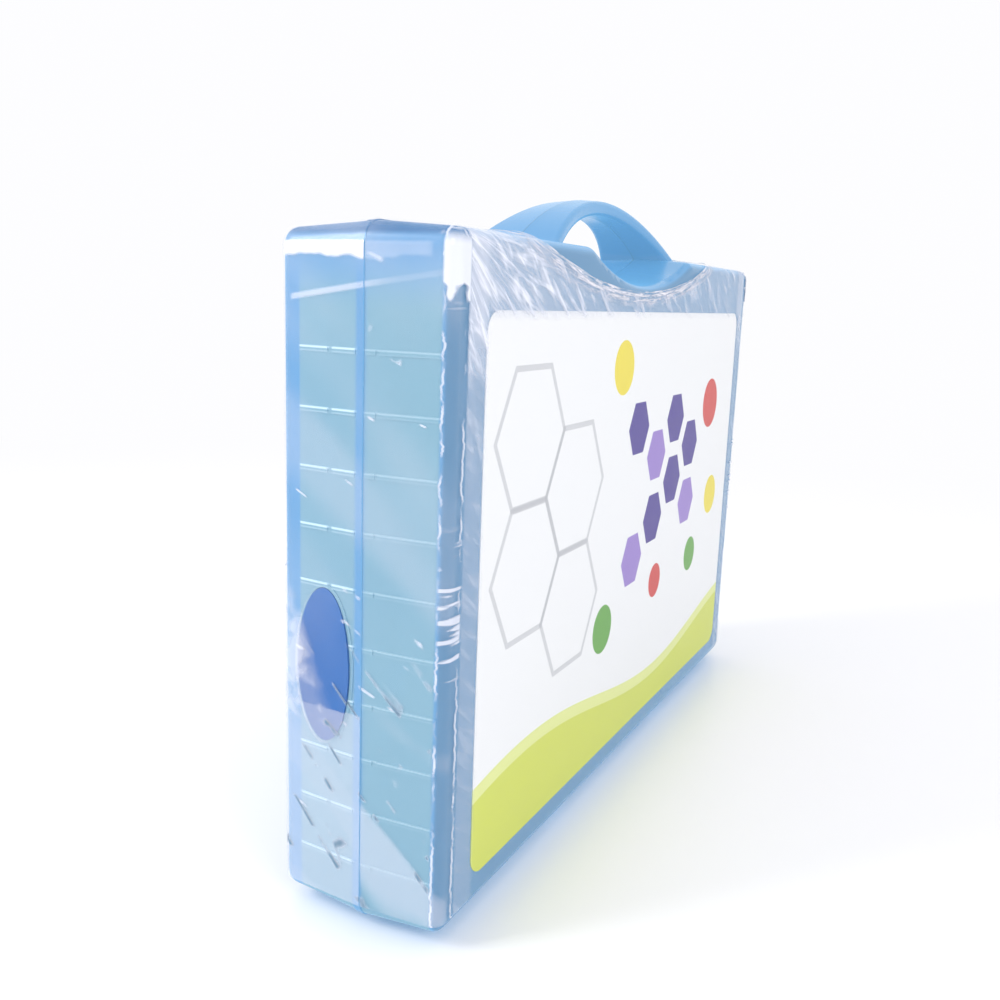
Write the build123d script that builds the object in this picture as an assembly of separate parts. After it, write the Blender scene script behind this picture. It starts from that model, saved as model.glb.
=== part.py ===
"""Clamshell carry case for a chemistry set, standing on its long bottom edge.

X runs along the width, Z is up, and the label faces -Y. The two halves meet on the parting plane.
Most shapes are drawn in a flat frame first: X along the width, Y up, and Z as the depth away from the
parting plane. lid_side() and base_side() then stand them up, to the front and to the back.
"""

from build123d import *
from math import cos, radians, sin, tan
import os

# Body of the case, at the parting plane
BODY_W = 445.0
BODY_H = 302.5
BODY_BOTTOM_Z = 4.0
LID_DEPTH = 38.4
BASE_DEPTH = 44.8
WALL = 2.0
CORNER_R = 10.0
EDGE_R = 6.0
DRAFT_DEG = 3.8

# Dip in the top edge, under the handle
DIP_R = 200.0
DIP_DEEP = 16.5
SHOULDER_R = 12.0

# Handle strap: half of it is moulded on each half of the case
HANDLE_RISE = 27.5
HANDLE_OUTER_R = 172.0
HANDLE_INNER_R = 160.0
HANDLE_THICK = 9.0
HANDLE_REACH = 34.0
LID_WAIST = 11.5
LID_WAIST_R = 385.0
BASE_WAIST = 14.0
BASE_WAIST_R = 300.0
HANDLE_DRAFT_DEG = 4.0
HANDLE_EDGE_R = 2.4
HANDLE_WALL = 2.0

# Rim band on the base half, and the lip that nests in the lid
RIM_WIDE = 3.9
RIM_PROUD = 0.35
LIP_REACH = 8.0
LIP_THICK = 1.5
LIP_GAP = 0.3
LIP_ROOT = 4.0

# Ribs across the end walls
RIB_TOP_GAP = 51.4
RIB_PITCH = 24.84
RIB_COUNT = 10
RIB_HIGH = 2.0
RIB_PROUD = 0.5
RIB_RUNS_LID = ((0.4, 5.3), (7.2, 35.5))
RIB_RUNS_BASE = ((4.4, 16.4), (18.8, 33.4))

# Feet, staggered so that they pass each other when the case lies open
FOOT_LONG = 32.0
FOOT_WIDE = 25.0
FOOT_INSET = 6.0
FOOT_EDGE_R = 2.0
BASE_FOOT_FROM_END = 42.5
LID_FOOT_FROM_END = 136.5

# Hinges along the bottom edge
HINGE_FROM_END = 88.5
HINGE_LONG = 60.0
HINGE_LIFT = 0.2
KNUCKLES = 5
KNUCKLE_R = 1.6
KNUCKLE_GAP = 0.4
PIN_R = 0.8
PIN_FIT = 0.05

# Oval latch button in each end wall of the base half
BUTTON_DEPTH = 20.5
BUTTON_UP = 116.0
BUTTON_WIDE = 28.0
BUTTON_TALL = 69.0
BUTTON_FIT = 0.3
BUTTON_PROUD = 1.6
BUTTON_DOME_R = 600.0
BUTTON_WALL = 1.8
BUTTON_CAP = 2.6
BUTTON_SKIRT = 7.2
BUTTON_TRAVEL = 2.5
FLANGE_WIDE = 1.8
FLANGE_THICK = 1.2
BEZEL_WIDE = 2.0

# Latch tongue on the lid, and the stirrup of the button that reaches round it
TONGUE_WIDE = 16.0
TONGUE_THICK = 2.0
TONGUE_REACH = 26.0
TONGUE_ROOT = (10.0, 20.0)
TOOTH_HIGH = 1.1
TOOTH_RUN = (19.5, 22.5)
NOSE_RUN = (16.0, 19.0)
LATCH_GAP = 0.3
STIRRUP_RUN = (14.0, 27.0)
STIRRUP_TALL = 30.0
STIRRUP_THICK = 1.6
STIRRUP_ROOM = 2.8
SLOT_RISE = 3.0

# Spring and bracket behind the button
SPRING_R = 3.6
SPRING_WIRE_R = 0.4
SPRING_LONG = 7.4
SPRING_TURNS = 5
SPRING_STEPS = 12
BRACKET_TALL = 94.0
BRACKET_WIDE = 15.0
BRACKET_THICK = 2.0
SPRING_CUP_WALL = 1.1
SPRING_CUP_HIGH = 2.0
BOSS_R = 3.5
BOSS_Z = 42.0
SCREW_R = 1.25
SCREW_HEAD_R = 2.8
SCREW_HEAD_HIGH = 1.4
SCREW_LONG = 10.0
SCREW_FIT = 0.05

# Trays
TRAY_END_GAP = 24.0
TRAY_BOTTOM_GAP = 9.0
TRAY_TOP_GAP = 8.5
TRAY_SET_BACK = 2.5
TRAY_WALL = 1.4
TRAY_CORNER_R = 8.0
TRAY_EDGE_R = 4.0
TRAY_DRAFT_DEG = 1.5
TRAY_GAP = 2.0
POCKET_CORNER_R = 5.0
POST_R = 6.0
POST_HIGH = 2.5
RIVET_R = 1.9
RIVET_HEAD_R = 4.5
RIVET_HEAD_HIGH = 1.2
RIVET_LONG = 4.0
RIVET_FIT = 0.05

# Front label
LABEL_LEFT_GAP = 30.0
LABEL_RIGHT_GAP = 24.0
LABEL_BOTTOM_GAP = 17.0
LABEL_TOP_GAP = 33.5
LABEL_CORNER_R = 10.0
LABEL_THICK = 0.4

# Shrink film, drawn thicker than the real one
FILM_GAP = 0.6
FILM_THICK = 0.3
FILM_SEAM = 0.3
FILM_BOTTOM_GAP = 8.0
FILM_OPEN_R = 437.0
FILM_OPEN_X = -16.5
FILM_OPEN_GAP = 23.7

OVERLAP = 0.5
BOTTOM = (Align.CENTER, Align.CENTER, Align.MIN)
PARTING_Y = (LID_DEPTH - BASE_DEPTH) / 2
BODY_TOP_Z = BODY_BOTTOM_Z + BODY_H
BODY_MID_Z = (BODY_BOTTOM_Z + BODY_TOP_Z) / 2
HANDLE_TOP_Z = BODY_TOP_Z + HANDLE_RISE
HINGE_X = BODY_W / 2 - HINGE_FROM_END
HINGE_Z = KNUCKLE_R + HINGE_LIFT
BUTTON_Z = BODY_BOTTOM_Z + BUTTON_UP
SIDES = {"left": -1, "right": 1}


def lid_side(shape):
    """Stand a flat-frame shape up in the front half."""
    return Pos(0, PARTING_Y, 0) * Rot(90, 0, 0) * shape


def base_side(shape):
    """Stand a flat-frame shape up in the back half, as a mirror of the front."""
    return Pos(0, PARTING_Y, 0) * mirror(Rot(90, 0, 0) * shape, about=Plane.XZ)


def span_box(x, y, z):
    """Box from three (low, high) spans."""
    return Pos(x[0], y[0], z[0]) * Box(x[1] - x[0], y[1] - y[0], z[1] - z[0], align=(Align.MIN,) * 3)


def outline(inset):
    """Outline of the case, drawn in by inset all round, with the dip in its top edge."""
    width = BODY_W - 2 * inset
    height = BODY_H - 2 * inset
    face = Pos(0, BODY_MID_Z) * RectangleRounded(width, height, CORNER_R - inset)
    face -= Pos(0, BODY_TOP_Z - DIP_DEEP + DIP_R) * Circle(DIP_R + inset)
    dip_ends = [v for v in face.vertices() if abs(v.X) < BODY_W / 4]
    return fillet(dip_ends, SHOULDER_R - inset)


def half_block(depth, inset):
    """Solid of one half, drawn in by inset, with draft and a rounded far edge."""
    block = extrude(outline(inset), depth - inset, taper=DRAFT_DEG)
    far_face = block.faces().sort_by(Axis.Z)[-1]
    return fillet(far_face.edges(), EDGE_R - inset)


def sleeve(high, outer, inner):
    """Drafted ring that follows the outline between two insets."""
    ring = extrude(outline(outer), high, taper=DRAFT_DEG)
    return ring - extrude(outline(inner), high, taper=DRAFT_DEG)


def handle_block(waist, waist_r, inset, root_z):
    """Solid of half the strap down to root_z: an arch seen from the front, waisted seen from above."""
    outer_z = HANDLE_TOP_Z - HANDLE_OUTER_R
    inner_z = HANDLE_TOP_Z - HANDLE_THICK - HANDLE_INNER_R
    arch = Pos(0, outer_z) * Circle(HANDLE_OUTER_R - inset)
    arch -= Pos(0, inner_z) * Circle(HANDLE_INNER_R + inset)
    arch &= Pos(0, root_z) * Rectangle(BODY_W, HANDLE_TOP_Z, align=(Align.CENTER, Align.MIN))
    strap = extrude(arch, HANDLE_REACH, taper=HANDLE_DRAFT_DEG)
    side = Pos(0, waist + waist_r) * Circle(waist_r + inset)
    return strap - Rot(90, 0, 0) * extrude(side, HANDLE_TOP_Z * 2, both=True)


def handle_outside(waist, waist_r):
    """Outer form of half the strap, with its long front edges rounded."""
    strap = handle_block(waist, waist_r, 0, BODY_TOP_Z - EDGE_R)
    crown = HANDLE_TOP_Z - HANDLE_THICK / 2
    front = strap.faces().sort_by_distance((0, crown, waist))[0]
    arcs = [e for e in front.edges() if e.length > HANDLE_TOP_Z / 2]
    return fillet(arcs, HANDLE_EDGE_R)


def oval_prism(grow, x_from, x_to):
    """The button's ellipse, grown all round and run along X at its place in the base half."""
    end_plane = Plane(origin=(x_from, BUTTON_Z, BUTTON_DEPTH), x_dir=(0, 0, 1), z_dir=(1, 0, 0))
    face = Ellipse(BUTTON_WIDE / 2 + grow, BUTTON_TALL / 2 + grow)
    return extrude(end_plane * face, x_to - x_from)


def both_ends(shape):
    """A right-end shape together with its mirror at the left end."""
    return shape + mirror(shape, about=Plane.YZ)


def end_skin(depth):
    """Thin layer that stands RIB_PROUD on the outside of a half."""
    return half_block(depth, -RIB_PROUD) - half_block(depth, OVERLAP)


def end_ribs(skin, runs):
    """Ribs cut from the skin across both end walls, over the given spans of depth."""
    bars = []
    for level in range(RIB_COUNT):
        low = BODY_TOP_Z - RIB_TOP_GAP - level * RIB_PITCH - RIB_HIGH / 2
        for run in runs:
            bars.append(span_box((BODY_W / 2 - EDGE_R, BODY_W / 2 + EDGE_R), (low, low + RIB_HIGH), run))
    return skin & both_ends(Part() + bars)


def posts(places, depth):
    """Posts on the inside of a half's face that carry a tray, with their rivet holes."""
    top = depth - WALL - POST_HIGH
    solid = [Pos(x, z, top) * Cylinder(POST_R, POST_HIGH + OVERLAP, align=BOTTOM) for x, z in places]
    hole_deep = RIVET_LONG - TRAY_WALL + RIVET_FIT
    hole = [Pos(x, z, top) * Cylinder(RIVET_R + RIVET_FIT, hole_deep, align=BOTTOM) for x, z in places]
    return solid, hole


def feet(from_end):
    """Two feet under one half, each centred at a distance from its end."""
    high = BODY_BOTTOM_Z + EDGE_R / 2
    foot = Box(FOOT_LONG, high, FOOT_WIDE, align=(Align.CENTER, Align.MIN, Align.MIN))
    foot = fillet(foot.edges().filter_by(Axis.Y), FOOT_EDGE_R)
    return [Pos(side * (BODY_W / 2 - from_end), 0, FOOT_INSET) * foot for side in SIDES.values()]


def knuckle_spans():
    """(low, high) of each knuckle along X, for the right-hand hinge."""
    long = (HINGE_LONG - (KNUCKLES - 1) * KNUCKLE_GAP) / KNUCKLES
    start = HINGE_X - HINGE_LONG / 2
    return [(start + n * (long + KNUCKLE_GAP), start + n * (long + KNUCKLE_GAP) + long) for n in range(KNUCKLES)]


def along_x(radius, x):
    """Cylinder about the hinge axis over an x span."""
    rod = Rot(0, 90, 0) * Cylinder(radius, x[1] - x[0], align=BOTTOM)
    return Pos(x[0], PARTING_Y, HINGE_Z) * rod


def knuckles(first, side_y):
    """Every second knuckle of both hinges, with the stem that joins each to its half."""
    parts = []
    for x in knuckle_spans()[first::2]:
        stem_y = sorted((PARTING_Y, PARTING_Y + side_y * KNUCKLE_R))
        stem = span_box(x, stem_y, (HINGE_Z, BODY_BOTTOM_Z + WALL / 2))
        parts.append(both_ends(along_x(KNUCKLE_R, x) + stem))
    return parts


def pin_bores():
    """Bores of both hinges."""
    start, end = HINGE_X - HINGE_LONG / 2, HINGE_X + HINGE_LONG / 2
    return both_ends(along_x(PIN_R + PIN_FIT, (start, end)))


# X positions of the latch, from the outer face of the end wall inwards
WALL_X = BODY_W / 2 - BUTTON_DEPTH * tan(radians(DRAFT_DEG))
CROWN_X = WALL_X + BUTTON_PROUD
SKIRT_X = CROWN_X - BUTTON_SKIRT
CAP_BACK_X = CROWN_X - BUTTON_CAP
TONGUE_OUT_X = CAP_BACK_X - BUTTON_TRAVEL - LATCH_GAP
TONGUE_IN_X = TONGUE_OUT_X - TONGUE_THICK
NOSE_X = TONGUE_IN_X - TOOTH_HIGH - LATCH_GAP
STIRRUP_X = TONGUE_IN_X - STIRRUP_ROOM
SEAT_X = STIRRUP_X - STIRRUP_THICK
BRACKET_X = SEAT_X - SPRING_LONG


def latch_span(wide, rise=0.0):
    """Span of heights about the button's centre."""
    return (BUTTON_Z - wide / 2, BUTTON_Z + wide / 2 + rise)


def button_form(grow):
    """Oval plug with a domed end that leans with the drafted end wall, right end."""
    lean = radians(DRAFT_DEG)
    centre_x = CROWN_X - BUTTON_DOME_R * cos(lean)
    centre_depth = BUTTON_DEPTH - BUTTON_DOME_R * sin(lean)
    dome = Pos(centre_x, BUTTON_Z, centre_depth) * Sphere(BUTTON_DOME_R + grow)
    return oval_prism(grow, SKIRT_X, CROWN_X + BUTTON_PROUD + grow) & dome


def latch_button():
    """Oval cap with a skirt, a retaining flange and a stirrup with the latch nose, right end."""
    body = button_form(0)
    body += oval_prism(FLANGE_WIDE, SKIRT_X, SKIRT_X + FLANGE_THICK)
    body -= oval_prism(-BUTTON_WALL, SKIRT_X - OVERLAP, CAP_BACK_X)
    slot_high = latch_span(TONGUE_WIDE + 2 * LATCH_GAP, SLOT_RISE)
    body -= span_box((SKIRT_X - OVERLAP, CAP_BACK_X), slot_high, (0, BUTTON_DEPTH - BUTTON_WIDE / 4))
    outer = span_box((SEAT_X, CAP_BACK_X + OVERLAP), latch_span(STIRRUP_TALL), STIRRUP_RUN)
    room = latch_span(STIRRUP_TALL - 2 * STIRRUP_THICK)
    body += outer - span_box((STIRRUP_X, CAP_BACK_X), room, (0, BASE_DEPTH))
    body += span_box((STIRRUP_X - OVERLAP, NOSE_X), latch_span(TONGUE_WIDE), NOSE_RUN)
    peg = Pos(SEAT_X, BUTTON_Z, BUTTON_DEPTH) * Rot(0, -90, 0) * Cylinder(
        SPRING_R - 2 * SPRING_WIRE_R, SPRING_CUP_HIGH, align=BOTTOM)
    return body + peg


def latch_tongue():
    """Tongue that the lid reaches into the base half, right end, in the lid's flat frame."""
    high = latch_span(TONGUE_WIDE)
    arm = span_box((TONGUE_IN_X, TONGUE_OUT_X), high, (-TONGUE_REACH, TONGUE_ROOT[1]))
    root = span_box((TONGUE_IN_X, BODY_W / 2 - WALL), high, TONGUE_ROOT)
    tooth_run = (-TOOTH_RUN[1], -TOOTH_RUN[0])
    return arm + root + span_box((TONGUE_IN_X - TOOTH_HIGH, TONGUE_IN_X + OVERLAP), high, tooth_run)


def latch_spring():
    """Coil spring between the stirrup and the bracket, right end."""
    count = SPRING_TURNS * SPRING_STEPS
    rise = (SPRING_LONG - 2 * SPRING_WIRE_R) / count
    turn = radians(360 / SPRING_STEPS)
    path = Polyline([(SPRING_R * cos(n * turn), SPRING_R * sin(n * turn), n * rise) for n in range(count + 1)])
    wire = Plane(origin=path @ 0, z_dir=path % 0) * RegularPolygon(SPRING_WIRE_R, 6)
    coil = sweep(wire, path=path, transition=Transition.RIGHT)
    return Pos(BRACKET_X + SPRING_WIRE_R, BUTTON_Z, BUTTON_DEPTH) * Rot(0, 90, 0) * coil


def screw_places():
    """Heights of the two bracket screws."""
    return [BUTTON_Z - BOSS_Z, BUTTON_Z + BOSS_Z]


def x_rod(radius, x, high):
    """Cylinder along X over an x span, at the button's depth and a given height."""
    return Pos(x[0], high, BUTTON_DEPTH) * Rot(0, 90, 0) * Cylinder(radius, x[1] - x[0], align=BOTTOM)


def latch_bracket():
    """Plate across two bosses, with a cup that holds the spring, right end."""
    depth_run = (BUTTON_DEPTH - BRACKET_WIDE / 2, BUTTON_DEPTH + BRACKET_WIDE / 2)
    plate = span_box((BRACKET_X - BRACKET_THICK, BRACKET_X), latch_span(BRACKET_TALL), depth_run)
    plate = fillet(plate.edges().filter_by(Axis.X), BRACKET_WIDE / 3)
    cup_in = SPRING_R + SPRING_WIRE_R + LATCH_GAP
    cup_x = (BRACKET_X - OVERLAP, BRACKET_X + SPRING_CUP_HIGH)
    plate += x_rod(cup_in + SPRING_CUP_WALL, cup_x, BUTTON_Z)
    plate -= x_rod(cup_in, (BRACKET_X, cup_x[1]), BUTTON_Z)
    for high in screw_places():
        plate -= x_rod(SCREW_R + SCREW_FIT, (BRACKET_X - BRACKET_THICK, BRACKET_X), high)
    return plate


def latch_screws():
    """Two pan-head screws through the bracket, right end."""
    head_x = BRACKET_X - BRACKET_THICK
    screws = []
    for high in screw_places():
        head = x_rod(SCREW_HEAD_R, (head_x - SCREW_HEAD_HIGH, head_x), high)
        screws.append(head + x_rod(SCREW_R, (head_x, head_x + SCREW_LONG), high))
    return screws


def base_shell():
    """Back half of the case."""
    skin = end_skin(BASE_DEPTH)
    shell = half_block(BASE_DEPTH, 0) + handle_outside(BASE_WAIST, BASE_WAIST_R)
    shell += end_ribs(skin, RIB_RUNS_BASE) - both_ends(oval_prism(BEZEL_WIDE, BODY_W / 4, BODY_W))
    bezel = skin & (oval_prism(BEZEL_WIDE, BODY_W / 4, BODY_W) - oval_prism(0, BODY_W / 4, BODY_W))
    shell += both_ends(bezel)
    shell += extrude(outline(-RIM_PROUD), RIM_WIDE, taper=DRAFT_DEG)
    shell += feet(BASE_FOOT_FROM_END)
    shell -= half_block(BASE_DEPTH, WALL)
    shell -= handle_block(BASE_WAIST, BASE_WAIST_R, HANDLE_WALL, BODY_TOP_Z + HANDLE_WALL / 2)
    shell += sleeve(LIP_ROOT, WALL / 2, WALL + LIP_GAP + LIP_THICK)
    boss_x = (BRACKET_X, WALL_X - WALL / 2)
    for high in screw_places():
        shell += both_ends(x_rod(BOSS_R, boss_x, high))
        shell -= both_ends(x_rod(SCREW_R + SCREW_FIT, (BRACKET_X, BRACKET_X + SCREW_LONG), high))
    hole = oval_prism(BUTTON_FIT, SKIRT_X, BODY_W)
    shell -= both_ends(hole)
    solid, hole = posts(BASE_RIVETS, BASE_DEPTH)
    shell = base_side(shell + solid - hole)
    lip = sleeve(LIP_REACH, WALL + LIP_GAP, WALL + LIP_GAP + LIP_THICK)
    shell += lid_side(lip)
    return shell + knuckles(0, 1) - pin_bores()


def lid_shell():
    """Front half of the case."""
    shell = half_block(LID_DEPTH, 0) + handle_outside(LID_WAIST, LID_WAIST_R)
    shell += end_ribs(end_skin(LID_DEPTH), RIB_RUNS_LID)
    shell += feet(LID_FOOT_FROM_END)
    shell -= half_block(LID_DEPTH, WALL)
    shell -= handle_block(LID_WAIST, LID_WAIST_R, HANDLE_WALL, BODY_TOP_Z + HANDLE_WALL / 2)
    shell += both_ends(latch_tongue())
    solid, hole = posts(LID_RIVETS, LID_DEPTH)
    shell = lid_side(shell + solid - hole)
    return shell + knuckles(1, -1) - pin_bores()


def pocket(x, z, floor):
    """Drafted pocket with rounded corners, open at the parting side."""
    face = Pos((x[0] + x[1]) / 2, (z[0] + z[1]) / 2) * RectangleRounded(
        x[1] - x[0], z[1] - z[0], POCKET_CORNER_R)
    return Pos(0, 0, TRAY_SET_BACK) * extrude(face, floor - TRAY_SET_BACK, taper=TRAY_DRAFT_DEG)


def split(low, high, count):
    """Equal spans between low and high, with a wall between neighbours and at both ends."""
    room = (high - low - (count + 1) * TRAY_WALL) / count
    return [(low + TRAY_WALL + n * (room + TRAY_WALL), low + (n + 1) * (TRAY_WALL + room)) for n in range(count)]


def tray(x, pockets, rivets, depth):
    """Pocketed tray that stands on the posts of one half."""
    back = depth - WALL - POST_HIGH
    face = Pos((x[0] + x[1]) / 2, sum(TRAY_Z) / 2) * RectangleRounded(
        x[1] - x[0], TRAY_Z[1] - TRAY_Z[0], TRAY_CORNER_R)
    block = Pos(0, 0, TRAY_SET_BACK) * extrude(face, back - TRAY_SET_BACK, taper=TRAY_DRAFT_DEG)
    block = fillet(block.faces().sort_by(Axis.Z)[-1].edges(), TRAY_EDGE_R)
    for span_x, span_z in pockets:
        block -= pocket(span_x, span_z, back - TRAY_WALL)
    for place_x, place_z in rivets:
        hole = Pos(place_x, place_z, back) * Cylinder(RIVET_R + RIVET_FIT, 2 * TRAY_WALL)
        block -= hole
    return block


def rivets(places, depth):
    """Push rivets through a tray's floor into its posts."""
    floor = depth - WALL - POST_HIGH - TRAY_WALL
    head = Pos(0, 0, floor - RIVET_HEAD_HIGH) * Cylinder(RIVET_HEAD_R, RIVET_HEAD_HIGH, align=BOTTOM)
    rivet = head + Pos(0, 0, floor) * Cylinder(RIVET_R, RIVET_LONG, align=BOTTOM)
    return [Pos(x, z, 0) * rivet for x, z in places]


TRAY_END_X = BODY_W / 2 - TRAY_END_GAP
LEFT_TRAY_X = (-TRAY_END_X, -TRAY_GAP / 2)
RIGHT_TRAY_X = (TRAY_GAP / 2, TRAY_END_X)
WHOLE_TRAY_X = (-TRAY_END_X, TRAY_END_X)
TRAY_Z = (BODY_BOTTOM_Z + TRAY_BOTTOM_GAP, BODY_TOP_Z - DIP_DEEP - TRAY_TOP_GAP)
LEFT_ROWS = split(*TRAY_Z, 2)
LEFT_POCKETS = [(split(*LEFT_TRAY_X, 1)[0], LEFT_ROWS[1])]
LEFT_POCKETS += [(x, LEFT_ROWS[0]) for x in split(*LEFT_TRAY_X, 2)]
RIGHT_POCKETS = [(x, split(*TRAY_Z, 1)[0]) for x in split(*RIGHT_TRAY_X, 3)]
LID_POCKETS = [(x, z) for x in split(*WHOLE_TRAY_X, 2) for z in split(*TRAY_Z, 2)]


def centre(pair):
    """Middle of a pocket given as its x and z spans."""
    return tuple(sum(span) / 2 for span in pair)


LEFT_RIVETS = [centre(pair) for pair in LEFT_POCKETS]
RIGHT_RIVETS = [centre(pair) for pair in RIGHT_POCKETS]
BASE_RIVETS = LEFT_RIVETS + RIGHT_RIVETS
LID_RIVETS = [centre(pair) for pair in LID_POCKETS]


def front_label():
    """Printed sheet on the lid's face."""
    wide = BODY_W - LABEL_LEFT_GAP - LABEL_RIGHT_GAP
    high = BODY_H - LABEL_BOTTOM_GAP - LABEL_TOP_GAP
    middle_x = (LABEL_LEFT_GAP - LABEL_RIGHT_GAP) / 2
    middle_z = BODY_MID_Z + (LABEL_BOTTOM_GAP - LABEL_TOP_GAP) / 2
    sheet = extrude(RectangleRounded(wide, high, LABEL_CORNER_R), LABEL_THICK)
    return lid_side(Pos(middle_x, middle_z, LID_DEPTH) * sheet)


def film(depth, buttons):
    """Film skin over one half: open at the parting plane, at the bottom and round the handle."""
    outer = half_block(depth, -FILM_GAP - FILM_THICK)
    inner = half_block(depth, -FILM_GAP)
    if buttons:
        outer += both_ends(button_form(FILM_GAP + FILM_THICK))
        inner += both_ends(button_form(FILM_GAP))
    skin = outer - inner
    open_z = BODY_TOP_Z - FILM_OPEN_GAP
    opening = Pos(FILM_OPEN_X, open_z + FILM_OPEN_R) * Cylinder(FILM_OPEN_R, 4 * depth)
    below_z = BODY_BOTTOM_Z + FILM_BOTTOM_GAP
    below = span_box((-BODY_W, BODY_W), (-BODY_TOP_Z, below_z), (-depth, 2 * depth))
    seam = span_box((-BODY_W, BODY_W), (-BODY_TOP_Z, 2 * BODY_TOP_Z), (-depth, FILM_SEAM))
    return skin - seam - below - opening


def hinge_pin(side):
    """Steel pin of one hinge."""
    pin = along_x(PIN_R, (HINGE_X - HINGE_LONG / 2, HINGE_X + HINGE_LONG / 2))
    return pin if side > 0 else mirror(pin, about=Plane.YZ)


def at_end(shape, side):
    """A right-end base shape stood up at the named end."""
    placed = shape if side > 0 else mirror(shape, about=Plane.YZ)
    return base_side(placed)


def build():
    """Every node by name."""
    nodes = {
        "back_shell": base_shell(),
        "front_shell": lid_shell(),
        "front_label": front_label(),
        "film_back": base_side(film(BASE_DEPTH, buttons=True)),
        "film_front": lid_side(film(LID_DEPTH, buttons=False)),
        "back_tray_left": base_side(tray(LEFT_TRAY_X, LEFT_POCKETS, LEFT_RIVETS, BASE_DEPTH)),
        "back_tray_right": base_side(tray(RIGHT_TRAY_X, RIGHT_POCKETS, RIGHT_RIVETS, BASE_DEPTH)),
        "front_tray": lid_side(tray(WHOLE_TRAY_X, LID_POCKETS, LID_RIVETS, LID_DEPTH)),
        "tray_rivets_back": Compound([base_side(r) for r in rivets(BASE_RIVETS, BASE_DEPTH)]),
        "tray_rivets_front": Compound([lid_side(r) for r in rivets(LID_RIVETS, LID_DEPTH)]),
    }
    button, spring, bracket = latch_button(), latch_spring(), latch_bracket()
    for name, side in SIDES.items():
        nodes[f"hinge_pin_{name}"] = hinge_pin(side)
        nodes[f"latch_button_{name}"] = at_end(button, side)
        nodes[f"latch_spring_{name}"] = at_end(spring, side)
        nodes[f"latch_bracket_{name}"] = at_end(bracket, side)
        nodes[f"latch_screws_{name}"] = Compound([at_end(screw, side) for screw in latch_screws()])
    return nodes


os.makedirs("parts", exist_ok=True)
for node, shape in build().items():
    print(node, len(shape.solids()), round(shape.volume))
    export_step(shape, f"parts/{node}.step")
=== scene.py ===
"""Looks of the chemistry set case: plastics, printed front, film wrap and the studio round it."""

import logging
import math
from dataclasses import dataclass
from enum import Enum
from typing import Any

import bmesh
import bpy
from mathutils import Matrix, Vector, noise


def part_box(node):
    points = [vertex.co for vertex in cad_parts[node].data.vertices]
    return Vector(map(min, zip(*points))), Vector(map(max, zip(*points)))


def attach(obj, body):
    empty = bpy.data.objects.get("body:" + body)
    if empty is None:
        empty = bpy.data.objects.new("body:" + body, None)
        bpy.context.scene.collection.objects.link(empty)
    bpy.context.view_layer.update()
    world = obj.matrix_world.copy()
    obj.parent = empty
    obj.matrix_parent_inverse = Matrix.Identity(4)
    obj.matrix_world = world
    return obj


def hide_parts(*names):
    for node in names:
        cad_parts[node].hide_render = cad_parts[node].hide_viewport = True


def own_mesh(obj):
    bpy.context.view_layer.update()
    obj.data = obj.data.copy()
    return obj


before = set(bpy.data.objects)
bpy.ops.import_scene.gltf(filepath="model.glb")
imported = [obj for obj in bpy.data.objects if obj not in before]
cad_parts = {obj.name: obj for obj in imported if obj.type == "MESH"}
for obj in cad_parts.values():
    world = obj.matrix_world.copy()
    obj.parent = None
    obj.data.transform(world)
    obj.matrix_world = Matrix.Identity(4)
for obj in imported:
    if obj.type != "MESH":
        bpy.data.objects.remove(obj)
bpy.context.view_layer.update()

LOG = logging.getLogger("case")

Colour = tuple[float, float, float]
Triple = tuple[float, float, float]
Pair = tuple[float, float]
# The two values between which a mask runs: 0 at the first, 1 at the second. Places are in millimetres.
Span = Pair


# ---------------------------------------------------------------------------------- shader maths


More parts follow.
